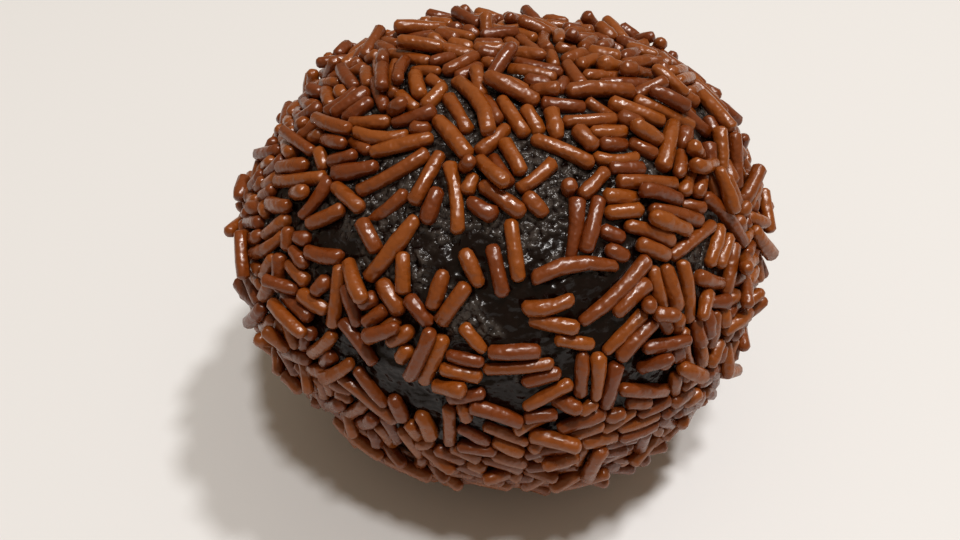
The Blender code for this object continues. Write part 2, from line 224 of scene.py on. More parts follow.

# %% [markdown]
# ## Strewing the sprinkles
#
# Geometry Nodes could scatter the sprinkles, but they would pass through each other. Here each sprinkle is
# a short straight rod with a tail and a head, so that it can be pushed about afterwards. A few rods stand
# out to the eye, such as the long bent one on the crown, and get a place of their own. Where rolling has
# combed the ball, the others lie nearly the same way, and on two wide stretches fewer of them stuck. The
# standouts' ends, and a line along each comb but the first, were picked in the picture, and a program turned
# those pixels into the angles and lengths below. The bends, reaches and shares were chosen.

# %% Place what stands out
# Where rolling has combed them: azimuth, elevation, reach and turn in degrees, and the share of spread left
COMBED = (
    (0, -60, 50, 0, 0.35),
    (-73, 40, 19, 51, 0.3),
    (-18, 81, 13, 116, 0.3),
    (86, 62, 16, 106, 0.4),
    (70, 31, 12, 55, 0.4),
    (39, 43, 9, 149, 0.3),
    (-50, -12, 11, 151, 0.35),
    (-23, -5, 10, 89, 0.25),
    (1, -3, 14, 174, 0.25),
    (25, 0, 12, 12, 0.4),
)
# Where fewer stuck: azimuth, elevation and reach in degrees, and the share that stayed
SPARSE = (
    (-8, 20, 33, 0.7),
    (150, -5, 32, 0.68),
)
# Azimuth, elevation, turn from level, length and bend in mm
STANDOUTS = (
    (-25, 69, 131, 8.9, 0.9),
    (-30, 68, 140, 5.5, 0.1),
    (-25, 62, 152, 6.0, 0.1),
    (-43, 55, 46, 6.3, 0.0),
    (-38, 49, 53, 7.7, 0.2),
    (-28, 51, 97, 5.7, 0.0),
    (-17, 49, 114, 7.1, 0.3),
    (-30, 36, 67, 7.6, 0.1),
    (-34, 36, 148, 3.6, 0.0),
    (16, 35, 181, 8.0, 0.8),
    (9, 30, 10, 4.8, 0.4),
    (2, 40, 98, 5.7, 0.0),
    (-2, 36, 107, 4.9, 0.0),
    (-8, 36, 120, 3.8, 0.0),
    (-15, 31, 84, 3.9, 0.0),
    (-11, 29, 63, 4.7, 0.0),
    (-25, 27, 140, 3.9, 0.0),
    (0, 59, 118, 4.3, 0.1),
    (9, 55, 32, 4.6, 0.2),
    (22, 59, 137, 6.3, 0.2),
    (-2, 50, 138, 5.1, 0.0),
    (25, 30, 27, 8.7, 0.4),
    (25, 22, 34, 5.4, 0.0),
    (23, 43, 55, 5.5, 0.1),
    (49, 32, 172, 7.1, 0.0),
    (37, 26, 87, 4.9, 0.1),
    (62, 29, 107, 8.2, 0.7),
    (47, 37, 142, 6.4, 0.1),
    (45, 46, 150, 6.7, 0.1),
    (62, 49, 22, 6.5, 0.0),
    (66, 67, 119, 7.2, 0.5),
    (-44, 28, 10, 4.6, 0.3),
    (-38, 23, 102, 6.3, 0.1),
    (-64, 35, 39, 7.3, 0.1),
    (-49, 35, 54, 4.7, 0.1),
    (-61, 25, 64, 4.8, 0.0),
    (2, 21, 1, 4.8, 0.0),
    (14, 22, 159, 3.8, 0.0),
    (-30, 16, 139, 5.3, 0.1),
    (-28, 2, 154, 7.4, 0.1),
    (-10, 2, 89, 5.6, 0.0),
    (9, 11, 30, 5.3, 0.0),
)
print(len(STANDOUTS), "sprinkles stand out, and", len(COMBED), "places are combed")

# %% [markdown]
# ## Places and turns
#
# Random points would leave holes and clumps. A golden spiral spreads them evenly over a ball instead, as
# the seeds of a sunflower lie. A turn is measured from level, along the surface, and a comb's lie is one
# direction in space, which makes a different turn at each place.

# %% Helpers for places and turns
GOLDEN_ANGLE = math.pi * (3.0 - math.sqrt(5.0))


def spiral(count):
    """Unit vectors spread evenly over a ball: even steps down, each turned by the golden angle."""
    step = np.arange(count)
    up = 1.0 - (2.0 * step + 1.0) / count
    flat = np.sqrt(1.0 - up * up)
    turn = step * GOLDEN_ANGLE
    return np.stack([flat * np.cos(turn), flat * np.sin(turn), up], axis=1)


def level_and_up(ways):
    """Unit vectors along the surface, level towards greater azimuths, and up at right angles to that."""
    level = unit(np.cross([0.0, 0.0, 1.0], ways))
    return level, np.cross(ways, level)


def comb(ways, turns):
    """Turns from level, drawn together around a comb's lie wherever one has passed.

    A lie is a direction in space, so its turn at a place is arctan(lie . up / lie . level) there.
    """
    level, up = level_and_up(ways)
    for azimuth, elevation, reach, turn, spread in COMBED:
        middle = ways_to([azimuth], [elevation])
        level_there, up_there = level_and_up(middle)
        lie = math.cos(math.radians(turn)) * level_there[0] + math.sin(math.radians(turn)) * up_there[0]
        inside = np.arccos(np.clip(ways @ middle[0], -1.0, 1.0)) < math.radians(reach)
        turns = np.where(inside, np.arctan2(up @ lie, level @ lie) + turns * spread, turns)
    return turns


def thinned(ways):
    """The share of sprinkles that stayed at each direction."""
    share = np.ones(len(ways))
    for azimuth, elevation, reach, stayed in SPARSE:
        apart = np.arccos(np.clip(ways @ ways_to([azimuth], [elevation])[0], -1.0, 1.0))
        inside = apart < math.radians(reach)
        share = np.where(inside, stayed, share)
    return share


print("the golden angle is", round(math.degrees(GOLDEN_ANGLE), 2), "degrees")

# %% [markdown]
# ## Strewing them
#
# The sites of the spiral are jittered, and a site is kept where the dice say so, clear of the bare patches
# and of the standouts. Every sprinkle then gets its length, bend, turn and thickness, hangs a little above
# the mass, and knows how deep each of its ends is to be pressed. A few are dug in at one end.

# %% Strew the sprinkles
SITES = 2450
SITE_SPREAD = 1.1 * MM
COVERED = 0.86
STANDOUT_ROOM = 1.35 * MM
STANDOUT_STEPS = (-0.35, 0.0, 0.35)
PRESSED_LEAST, PRESSED_MOST = 0.25 * MM, 0.6 * MM
DUG_IN = 0.1
DUG_LEAST, DUG_MOST = 0.7 * MM, 1.7 * MM
DROPPED_FROM = 1.1 * MM
STANDOUT_DROP = 1.5 * MM
STANDOUT_GIVE = 0.05
QUARTER_TURN = math.pi / 2


def turned(level, up, turns):
    """Directions along the surface: level * cos(turn) + up * sin(turn)."""
    return level * np.cos(turns)[:, None] + up * np.sin(turns)[:, None]


def kept_sites(shape, patches, draws):
    """The jittered sites of the spiral that are covered, clear of bare patches and of standouts."""
    sites = unit(spiral(SITES) * MASS_RADIUS + draws.normal(size=(SITES, 3)) * SITE_SPREAD)
    squeeze = (mass_radius(shape, sites) / MASS_RADIUS) ** 2
    clear = (distance_to_patches(sites, patches) > patches[1]).all(axis=1)
    kept = (draws.uniform(size=SITES) < COVERED * squeeze * thinned(sites)) & clear
    azimuth, elevation, turn, length, _ = np.array(STANDOUTS, float).T
    marked = ways_to(azimuth, elevation)
    lie = turned(*level_and_up(marked), np.radians(turn))
    for share in STANDOUT_STEPS:
        along = unit(marked * MASS_RADIUS + lie * (length * MM * share)[:, None])
        apart = np.arccos(np.clip(sites @ along.T, -1.0, 1.0)).min(axis=1) * MASS_RADIUS
        kept &= apart > STANDOUT_ROOM
    return sites[kept]


def strew(shape, draws):
    """Sprinkles before they settle: the standouts first, then those at the kept sites."""
    patches = bare_patches(draws)
    loose = kept_sites(shape, patches, draws)
    count = len(loose)
    azimuth, elevation, turn, length, bend = np.array(STANDOUTS, float).T
    marked = ways_to(azimuth, elevation)
    ways = np.concatenate([marked, loose])
    lengths = np.clip(draws.normal(USUAL_LENGTH, LENGTH_SPREAD, count), SHORTEST, LONGEST)
    bends = np.abs(draws.normal(size=count)) * BEND_PER_LENGTH * lengths**2
    turns = comb(loose, draws.uniform(-QUARTER_TURN, QUARTER_TURN, count))
    turns = np.concatenate([np.radians(turn), turns])
    radii = SPRINKLE_RADIUS * (1.0 + RADIUS_SPREAD * draws.normal(size=len(ways)))
    drops = [np.full(len(marked), STANDOUT_DROP), draws.uniform(0.0, DROPPED_FROM, count)]
    drop = radii + np.concatenate(drops)
    pressed = draws.uniform(PRESSED_LEAST, PRESSED_MOST, (2, len(ways)))
    dug = draws.uniform(size=count) < DUG_IN
    pressed[0, len(marked) :][dug] = draws.uniform(DUG_LEAST, DUG_MOST, dug.sum())
    surface = CENTRE + ways * mass_radius(shape, ways)[:, None]
    _, out = above_mass(shape, surface)
    along = turned(*level_and_up(out), turns)
    spans = np.concatenate([length * MM, lengths]) - 2.0 * radii
    middle = surface + out * drop[:, None]
    return {
        "tails": middle - along * spans[:, None] / 2,
        "heads": middle + along * spans[:, None] / 2,
        "spans": spans,
        "radii": radii,
        "bends": np.concatenate([bend * MM, bends]),
        "pressed": pressed,
        "give": np.concatenate([np.full(len(marked), STANDOUT_GIVE), np.ones(count)]),
        "patches": patches,
    }


strewn = strew(shape, draws)
print(len(strewn["spans"]), "sprinkles, of which", len(STANDOUTS), "stand out")

# %% [markdown]
# ## Letting them settle
#
# Blender's rigid bodies could do this, but a thousand of them are slow and never quite lie still. A simple
# rule in rounds is enough. Two rods that overlap are pushed apart along the shortest line between them:
# side by side they slide along the ball, and across each other the upper one is lifted. Only pairs that
# are near enough to meet are looked at, and the list of them is made anew every few rounds.

# %% Push overlapping sprinkles apart
PUSH_SHARE = 0.9
SEARCH_ROOM = SPRINKLE_RADIUS / 2


def neighbours(strewn):
    """Pairs of sprinkles near enough to meet soon."""
    middles = (strewn["tails"] + strewn["heads"]) / 2
    reach = strewn["spans"] / 2 + strewn["radii"] + SEARCH_ROOM
    gaps = middles[:, None, :] - middles[None, :, :]
    near = (gaps * gaps).sum(axis=2) < (reach[:, None] + reach[None, :]) ** 2
    return np.nonzero(np.triu(near, 1))


def nearest(first_tails, first_axes, second_tails, second_axes):
    """Fractions along pairs of straight lines at which the two come nearest each other."""
    gap = first_tails - second_tails
    first, second = dot(first_axes, first_axes), dot(second_axes, second_axes)
    both, first_gap, second_gap = dot(first_axes, second_axes), dot(first_axes, gap), dot(second_axes, gap)
    spread = np.maximum(first * second - both * both, TINY * TINY)
    on_first = np.clip((both * second_gap - second * first_gap) / spread, 0.0, 1.0)
    on_second = np.clip((both * on_first + second_gap) / second, 0.0, 1.0)
    on_first = np.clip((both * on_second - first_gap) / first, 0.0, 1.0)
    return on_first, on_second


def push_apart(strewn, pairs):
    """Moves the ends of sprinkles that overlap, each by its share, along the line between them."""
    i, j = pairs
    tails, heads = strewn["tails"], strewn["heads"]
    axes = heads - tails
    on_i, on_j = nearest(tails[i], axes[i], tails[j], axes[j])
    line = tails[i] + axes[i] * on_i[:, None] - tails[j] - axes[j] * on_j[:, None]
    apart = np.sqrt(np.maximum(dot(line, line), TINY))
    overlap = np.maximum(strewn["radii"][i] + strewn["radii"][j] - apart, 0.0)
    push = line * (overlap / apart * PUSH_SHARE)[:, None]
    share = (strewn["give"][i] / (strewn["give"][i] + strewn["give"][j]))[:, None]
    moves = np.zeros((2, len(tails), 3))
    np.add.at(moves[0], i, push * share * (1.0 - on_i)[:, None])
    np.add.at(moves[1], i, push * share * on_i[:, None])
    np.add.at(moves[0], j, -push * (1.0 - share) * (1.0 - on_j)[:, None])
    np.add.at(moves[1], j, -push * (1.0 - share) * on_j[:, None])
    strewn["tails"] = tails + moves[0]
    strewn["heads"] = heads + moves[1]


def keep_lengths(strewn):
    """Brings each sprinkle's ends back to their distance from each other."""
    middles = (strewn["tails"] + strewn["heads"]) / 2
    half = unit(strewn["heads"] - strewn["tails"]) * strewn["spans"][:, None] / 2
    strewn["tails"] = middles - half
    strewn["heads"] = middles + half


print(len(neighbours(strewn)[0]), "pairs are near enough to meet")

# %% [markdown]
# ## Coming to rest
#
# After each push every end sinks a little towards the mass, and an end that is too deep is lifted out.
# Ends in a bare patch are led out of it. After some rounds the sprinkles lie as real ones do, in the
# surface, against each other, and here and there one across another. Those that stand too proud of the
# rest have nothing to stick to, and are brushed off.

# %% Settle the sprinkles
ROUNDS, RESTING_ROUNDS = 140, 40
ROUNDS_PER_SEARCH = 10
SETTLE_STEP = 0.04 * MM
CLEAR_SHARE = 0.25
FLOOR_GAP = 0.3 * MM
PROUD, PROUD_END = 1.55 * MM, 2.0 * MM


def rest_ends(strewn, shape, step):
    """Lifts ends that are too deep in the mass, lets the others sink by a step, and clears bare patches."""
    middles, radii = strewn["patches"]
    for end, pressed in zip(("tails", "heads"), strewn["pressed"]):
        points = strewn[end]
        height, out = above_mass(shape, points)
        lack = strewn["radii"] - pressed - height
        points = points + out * np.maximum(lack, -step)[:, None]
        ways = unit(points - CENTRE)
        inside = np.maximum(radii - distance_to_patches(ways, strewn["patches"]), 0.0)
        away = ways * inside.sum(axis=1)[:, None] - inside @ middles
        points = points + away * (CLEAR_SHARE * strewn["give"])[:, None]
        points[:, 2] = np.maximum(points[:, 2], strewn["radii"] + FLOOR_GAP)
        strewn[end] = points


def settle(strewn, shape):
    """The sprinkles slide off each other, or come to rest across each other, and sink onto the mass."""
    for count in range(ROUNDS + RESTING_ROUNDS):
        if count % ROUNDS_PER_SEARCH == 0:
            pairs = neighbours(strewn)
        push_apart(strewn, pairs)
        keep_lengths(strewn)
        rest_ends(strewn, shape, SETTLE_STEP if count < ROUNDS else 0.0)
        keep_lengths(strewn)


def brush_off(strewn, shape):
    """Takes away the sprinkles that lie on others and stand too proud, but no standout."""
    height, _ = above_mass(shape, (strewn["tails"] + strewn["heads"]) / 2)
    tail, _ = above_mass(shape, strewn["tails"])
    head, _ = above_mass(shape, strewn["heads"])
    kept = (height < PROUD) & (np.maximum(tail, head) < PROUD_END) | (strewn["give"] < 1.0)
    for name in ("tails", "heads", "spans", "radii", "bends", "give"):
        strewn[name] = strewn[name][kept]


settle(strewn, shape)
brush_off(strewn, shape)
heights, _ = above_mass(shape, (strewn["tails"] + strewn["heads"]) / 2)
lowest, highest = heights.min() / MM, heights.max() / MM
print(len(heights), f"stay, with middles {lowest:.2f} to {highest:.2f} mm above the mass")

# %% [markdown]
# ## Putting arrays into a mesh
#
# Blender can take a whole array of corners at once. This helper makes an object from corners and faces,
# shades it smooth, and leaves it at the origin, so that its place is in its mesh. An attribute is a number
# that each corner carries, which a material can read later. Soft things are pressed flat where they rest.

# %% Mesh helpers
def pressed_flat(points):
    """The points, with those that would lie below the floor raised onto it."""
    return np.maximum(points, (-np.inf, -np.inf, 0.0))


def make_piece(name, corners, faces, material, **attributes):
    """A smooth mesh object at the origin, with its corners' attributes and one material."""
    mesh = bpy.data.meshes.new(name)
    mesh.from_pydata(corners.tolist(), [], faces)
    for label, values in attributes.items():
        layer = mesh.attributes.new(label, "FLOAT", "POINT")
        layer.data.foreach_set("value", np.asarray(values, np.float32))
    mesh.materials.append(material)
    mesh.shade_smooth()
    mesh.validate()
    made = bpy.data.objects.new(name, mesh)
    bpy.context.scene.collection.objects.link(made)
    print(name, "has", len(mesh.vertices), "corners and", len(mesh.polygons), "faces")
    return made


# %% [markdown]
# ## Shader sums as Python
#
# A material is a net of nodes, and sums done in it take a Math node each. Wired by hand that is hard to
# read, so a small class wraps a socket and gives it plus, minus, times and divide. An expression then adds
# its own Math nodes. Every other node comes from one method of the finish that it belongs to.

# %% A value in a finish
class Sum:
    """A value in a finish: arithmetic on it adds Math nodes."""

    def __init__(self, finish, socket):
        self.finish = finish
        self.socket = socket

    def math(self, operation, first, second):
        """A Math node on two values."""
        return self.finish.node("ShaderNodeMath", {"operation": operation}, [first, second])

    def __add__(self, other):
        return self.math("ADD", self, other)

    __radd__ = __add__

    def __sub__(self, other):
        return self.math("SUBTRACT", self, other)

    def __rsub__(self, other):
        return self.math("SUBTRACT", other, self)

    def __mul__(self, other):
        return self.math("MULTIPLY", self, other)

    __rmul__ = __mul__

    def __truediv__(self, other):
        return self.math("DIVIDE", self, other)

    def __rtruediv__(self, other):
        return self.math("DIVIDE", other, self)


print("sums of values are ready, also with a plain number first")

# %% [markdown]
# ## A finish
#
# Each finish is one material. Colours can't go through a Math node, which would turn them grey, so they go
# through a Mix node. That node keeps a row of sockets for each kind of value, and shows only one of them.

# %% A finish and its nodes
# The colour's sockets of a Mix node, by number
MIX_SHARE, MIX_FIRST, MIX_SECOND = 0, 6, 7
MIX_RESULT = 2


class Finish:
    """A material with a Principled shader, and one method that adds any other node."""

    def __init__(self, name):
        self.material = bpy.data.materials.new(name)
        self.material.use_nodes = True
        self.tree = self.material.node_tree
        self.shader = self.tree.nodes["Principled BSDF"]

    def feed(self, socket, value):
        """Puts a number or colour on a socket, or links it."""
        if isinstance(value, Sum):
            self.tree.links.new(value.socket, socket)
        else:
            socket.default_value = value

    def node(self, kind, settings, inputs, output=0):
        """A node of this kind, with its settings made first, then its sockets by name or in order."""
        made = self.tree.nodes.new(kind)
        for setting, value in settings.items():
            setattr(made, setting, value)
        named = inputs.items() if isinstance(inputs, dict) else enumerate(inputs)
        for label, value in named:
            self.feed(made.inputs[label], value)
        return Sum(self, made.outputs[output])

    def place(self):
        """The Object coordinates: where a point lies in the piece, in metres."""
        return self.node("ShaderNodeTexCoord", {}, {}, "Object")

    def attribute(self, name):
        """A number that the mesh's corners carry."""
        return self.node("ShaderNodeAttribute", {"attribute_name": name}, {}, "Fac")

    def noise(self, size, detail=2.0, roughness=0.5):
        """Soft random values with a grain of about this size in metres."""
        inputs = {"Vector": self.place(), "Scale": 1.0 / size, "Detail": detail, "Roughness": roughness}
        return self.node("ShaderNodeTexNoise", {}, inputs, "Fac")

    def ramp(self, value, start, end, low=0.0, high=1.0):
        """A value taken from start..end to low..high, smoothly and no further."""
        settings = {"interpolation_type": "SMOOTHSTEP", "clamp": True}
        return self.node("ShaderNodeMapRange", settings, [value, start, end, low, high])

    def mix(self, share, first, second):
        """A colour between two, by a share from 0 to 1."""
        inputs = {MIX_SHARE: share, MIX_FIRST: first, MIX_SECOND: second}
        return self.node("ShaderNodeMix", {"data_type": "RGBA"}, inputs, MIX_RESULT)

    def bump(self, height, distance, under=None):
        """A Bump node: a height of one stands for this distance in metres, on top of another bump."""
        inputs = {"Height": height, "Distance": distance}
        if under is not None:
            inputs["Normal"] = under
        return self.node("ShaderNodeBump", {}, inputs, "Normal")


print("a finish has", ", ".join(name for name in vars(Finish) if not name.startswith("_")))

# %% [markdown]
# ## The mass's finish
#
# Cake crumb bound with chocolate and rum is almost black, moist and fatty. Where palms have pressed it, it
# is smooth and shines softly. Where it is torn, mostly high on the ball, each crumb is a little dome that
# turns its own mirror to the light. A Voronoi texture knows the distance to the nearest of many scattered
# points, and one minus its square is a dome on each. A slower noise says where the crumbs show, and there
# the domes' tops are painted a paler grey, a painted sheen of the lamps on them. Low on the ball a thin film
# of fat lies over it, a coat in Blender's words, and mirrors the pale floor as a grey sheen.

# %% Finish of the mass
MASS_DARK = (0.007, 0.002, 0.001, 1.0)
# The paler grey below is a painted sheen of the lamps on the crumb tops
MASS_PAINTED_SHEEN = (0.065, 0.054, 0.048, 1.0)
SHEEN_PAINT_START, SHEEN_PAINT_END = 0.0, 0.45
LUMP_SIZE, LUMP_DEPTH = 2.8 * MM, 1.2 * MM
CRUMB_SIZE, CRUMB_DEPTH = 0.7 * MM, 0.55 * MM
DOME, BREAK_UP = 0.6, 0.9
PATCH_SIZE, PATCH_START, PATCH_END = 5.0 * MM, 0.50, 0.62
TORN_HEIGHT, TORN_RISE = 34.0 * MM, 80.0 * MM
PRESSED_CRUMB = 0.15
PRESSED_ROUGHNESS, TORN_ROUGHNESS = 0.26, 0.28
MASS_IOR = 1.45
FILM, FILM_ROUGHNESS = 0.7, 0.3
FILM_FULL, FILM_GONE = 10.0 * MM, 21.0 * MM


def mass_finish():
    """Nearly black: softly shining where it is pressed, and a glitter of crumbs where it is torn, whose tops
    carry a painted grey sheen.
    """
    finish = Finish("cake mass")
    lumps = finish.noise(LUMP_SIZE)
    near = {"Vector": finish.place(), "Scale": 1.0 / CRUMB_SIZE}
    away = finish.node("ShaderNodeTexVoronoi", {}, near, "Distance")
    crumb = finish.noise(CRUMB_SIZE) * BREAK_UP - away * away * DOME
    height = finish.node("ShaderNodeSeparateXYZ", {}, [finish.place()], "Z")
    patches = finish.noise(PATCH_SIZE, detail=1.0) + (height - TORN_HEIGHT) / TORN_RISE
    torn = finish.ramp(patches, PATCH_START, PATCH_END)
    # The crumb tops where torn, mostly high on the ball, are painted a paler grey: a painted sheen
    colour = finish.mix(finish.ramp(crumb * torn, SHEEN_PAINT_START, SHEEN_PAINT_END), MASS_DARK, MASS_PAINTED_SHEEN)
    finish.feed(finish.shader.inputs["Base Color"], colour)
    gloss = PRESSED_ROUGHNESS + torn * (TORN_ROUGHNESS - PRESSED_ROUGHNESS)
    finish.feed(finish.shader.inputs["Roughness"], gloss)
    grain = crumb * (PRESSED_CRUMB + torn * (1.0 - PRESSED_CRUMB))
    tilted = finish.bump(grain, CRUMB_DEPTH, under=finish.bump(lumps, LUMP_DEPTH))
    finish.feed(finish.shader.inputs["Normal"], tilted)
    finish.shader.inputs["IOR"].default_value = MASS_IOR
    film = finish.ramp(height, FILM_FULL, FILM_GONE, FILM, 0.0)
    finish.feed(finish.shader.inputs["Coat Weight"], film)
    finish.shader.inputs["Coat Roughness"].default_value = FILM_ROUGHNESS
    return finish.material


mass_material = mass_finish()
print("finish:", mass_material.name)

# %% [markdown]
# ## The mass
#
# A UV sphere has poles where its faces crowd, and one would sit in plain view on the crown. A rounded cube
# has none: six square grids are blown up onto the ball, and the corners that two grids share are made one.

# %% A rounded cube
GRID = 112
SAME_PLACE = 1e-6


def cube_grids():
    """Directions on a rounded cube, without doubles, and its square faces.

    Each of the cube's six sides is a grid whose lines are spaced by the tangent of an even angle, which
    makes the squares nearly equal once they are blown up onto the ball.
    """
    line = np.tan(np.linspace(-math.pi / 4, math.pi / 4, GRID + 1))
    across, up = np.meshgrid(line, line, indexing="ij")
    one = np.ones_like(across)
    corners, squares = [], []
    first = np.arange(GRID)[:, None] * (GRID + 1) + np.arange(GRID)[None, :]
    loop = np.stack([first, first + GRID + 1, first + GRID + 2, first + 1], axis=-1).reshape(-1, 4)
    for axis in range(3):
        for sign in (1.0, -1.0):
            side = np.stack([sign * one, across, sign * up], axis=-1).reshape(-1, 3)
            corners.append(np.roll(side, axis, axis=1))
            squares.append(loop + len(squares) * (GRID + 1) ** 2)
    ways = unit(np.concatenate(corners))
    rounded = (ways / SAME_PLACE).round().astype(int)
    _, chosen, index = np.unique(rounded, axis=0, return_index=True, return_inverse=True)
    return ways[chosen], index.reshape(-1)[np.concatenate(squares)]


ways, squares = cube_grids()
print(len(ways), "corners and", len(squares), "squares")

# %% [markdown]
# ## Its crumb
#
# On top of the form comes relief. A Displace modifier with a texture could add it. Here it is one more
# array instead: random heights at the corners of small cubes, blended across each cube, give crumbs of the
# cube's size, and three sizes of them are added up.

# %% Build the mass
# Size and height of the crumbs, from the largest to the smallest
RELIEF = ((2.6 * MM, 0.16 * MM), (1.1 * MM, 0.12 * MM), (0.55 * MM, 0.05 * MM))
RELIEF_SEED = 11


def blended_cubes(points, size, draws):
    """Soft random heights from -1 to 1: random corners of cubes of this size, blended across each cube.

    Each blend runs as t * t * (3 - 2 * t), so that no crease shows where two cubes meet.
    """
    place = (points - points.min(axis=0)) / size
    cell = place.astype(int)
    part = place - cell
    part = part * part * (3.0 - 2.0 * part)
    lattice = draws.uniform(-1.0, 1.0, tuple(cell.max(axis=0) + 2))
    total = np.zeros(len(points))
    for corner in np.ndindex(2, 2, 2):
        weight = np.prod(np.where(corner, part, 1.0 - part), axis=1)
        total += weight * lattice[tuple((cell + corner).T)]
    return total


def build_mass(material):
    """The mass with its relief, pressed flat where it rests."""
    points = CENTRE + ways * mass_radius(shape, ways)[:, None]
    _, out = above_mass(shape, points)
    dice = np.random.default_rng(RELIEF_SEED)
    lift = sum(height * blended_cubes(points, size, dice) for size, height in RELIEF)
    return make_piece("mass", pressed_flat(points + out * lift[:, None]), squares.tolist(), material)


mass = build_mass(mass_material)

# %% [markdown]
# ## The sprinkles' finish
#
# A sprinkle is milk chocolate pressed through small holes and tumbled in a glaze. The chocolate shines on
# a skin that is never quite smooth, so its highlight breaks up into beads. The glaze over it is a coat. A
# bump that feeds Normal doesn't reach the coat, whose even sheen stays in one piece, so the coat is weak.
# No two have the same shade, so each carries a number of its own, its tone, that shifts the brown.

# %% Finish of the sprinkles
SPRINKLE_DEEP = (0.165, 0.037, 0.005, 1.0)
SPRINKLE_LIGHT = (0.262, 0.073, 0.008, 1.0)
TONE_SHARE, MOTTLE_SHARE = 0.75, 0.25
TONE_START, TONE_END = 0.1, 0.9
MOTTLE_SIZE = 0.8 * MM
MOTTLE_START, MOTTLE_END = 0.3, 0.7
SATIN, DULL = 0.26, 0.38
PIT_SIZE, PIT_DEPTH = 0.85 * MM, 0.2 * MM
SPRINKLE_IOR = 1.6
GLAZE, GLAZE_ROUGHNESS, GLAZE_IOR = 0.2, 0.24, 1.4


def sprinkle_finish():
    """Satin milk chocolate under a thin glaze, with an uneven skin, each with a brown of its own."""
    finish = Finish("chocolate sprinkle")
    mottle = finish.noise(MOTTLE_SIZE, detail=3.0)
    pits = finish.noise(PIT_SIZE, detail=1.0)
    tone = finish.attribute("tone") * TONE_SHARE + mottle * MOTTLE_SHARE
    share = finish.ramp(tone, TONE_START, TONE_END)
    finish.feed(finish.shader.inputs["Base Color"], finish.mix(share, SPRINKLE_DEEP, SPRINKLE_LIGHT))
    gloss = finish.ramp(mottle, MOTTLE_START, MOTTLE_END, SATIN, DULL)
    finish.feed(finish.shader.inputs["Roughness"], gloss)
    finish.feed(finish.shader.inputs["Normal"], finish.bump(pits, PIT_DEPTH))
    finish.shader.inputs["IOR"].default_value = SPRINKLE_IOR
    finish.shader.inputs["Coat Weight"].default_value = GLAZE
    finish.shader.inputs["Coat Roughness"].default_value = GLAZE_ROUGHNESS
    finish.shader.inputs["Coat IOR"].default_value = GLAZE_IOR
    return finish.material


sprinkle_material = sprinkle_finish()
print("finish:", sprinkle_material.name)

# %% [markdown]
# ## The sprinkles
#
# One sprinkle is a profile carried along a short path: rings of corners round a line that bows a little to
# one side, swelling from a point at the tail to full thickness and back to a point at the head. A blunt
# end is a quarter circle that has been squashed. Some taper like a drop, and some from the middle to both
# ends like a spindle.

# %% The profile of a sprinkle
CAP_ANGLES = np.radians([36.0, 75.0])
CAP_RINGS = len(CAP_ANGLES)
BELLY = 2
TAPER_SPREAD = 0.045
DROPS, DROP_TAPER = 0.05, 0.2
SPINDLES, SPINDLE_TAPER = 0.1, (0.06, 0.18)
RING_SPREAD = 0.05


def profile(cap_lengths, draws):
    """Where the rings sit along each sprinkle, and how wide they are.

    A ring of the straight part sits at a share of its half length, from -1 at the tail to 1 at the head. A
    ring of a cap, at angle a from the tip, sits cap length * cos(a) radii beyond the straight part, and is
    sin(a) radii wide.
    """
    cap_out = np.cos(CAP_ANGLES)
    cap_wide = np.sin(CAP_ANGLES)
    belly = np.linspace(-1.0, 1.0, BELLY + 2)[1:-1]
    straight = np.concatenate([np.full(CAP_RINGS, -1.0), belly, np.full(CAP_RINGS, 1.0)])
    beyond = np.concatenate([-cap_out, np.zeros(BELLY), cap_out[::-1]])
    wide = np.concatenate([cap_wide, np.ones(BELLY), cap_wide[::-1]])
    beyond = beyond[None, :] * cap_lengths[:, None]
    wide = wide[None, :] * (1.0 + RING_SPREAD * draws.normal(size=(len(cap_lengths), len(wide))))
    return straight, beyond, wide


def tapers(share, draws):
    """How much wider or thinner each ring is than the profile says, by its share of the half length.

    A drop's width grows as 1 + taper * share, and a spindle's shrinks as 1 - spindle * share squared.
    """
    count = len(share)
    taper = draws.normal(size=count) * TAPER_SPREAD
    taper = np.where(draws.uniform(size=count) < DROPS, DROP_TAPER, taper)
    spindle = np.where(draws.uniform(size=count) < SPINDLES, draws.uniform(*SPINDLE_TAPER, count), 0.0)
    return (1.0 + taper[:, None] * share) * (1.0 - spindle[:, None] * share**2)


print("a sprinkle has", 2 * CAP_RINGS + BELLY, "rings")

# %% [markdown]
# ## All sprinkles at once
#
# A thousand objects would be slow, so all the sprinkles are one mesh. Their rings are worked out in one
# array, whose axes are sprinkle, ring and corner, and the faces of the first sprinkle are shifted on for
# all the others. Each has only a few dozen faces, and smooth shading and the finish do the rest.

# %% Build the sprinkles
SIDES = 10
CAP_LENGTHS = (0.55, 1.0)
CORNER_SPREAD = 0.04
LOOKS_SEED = 29


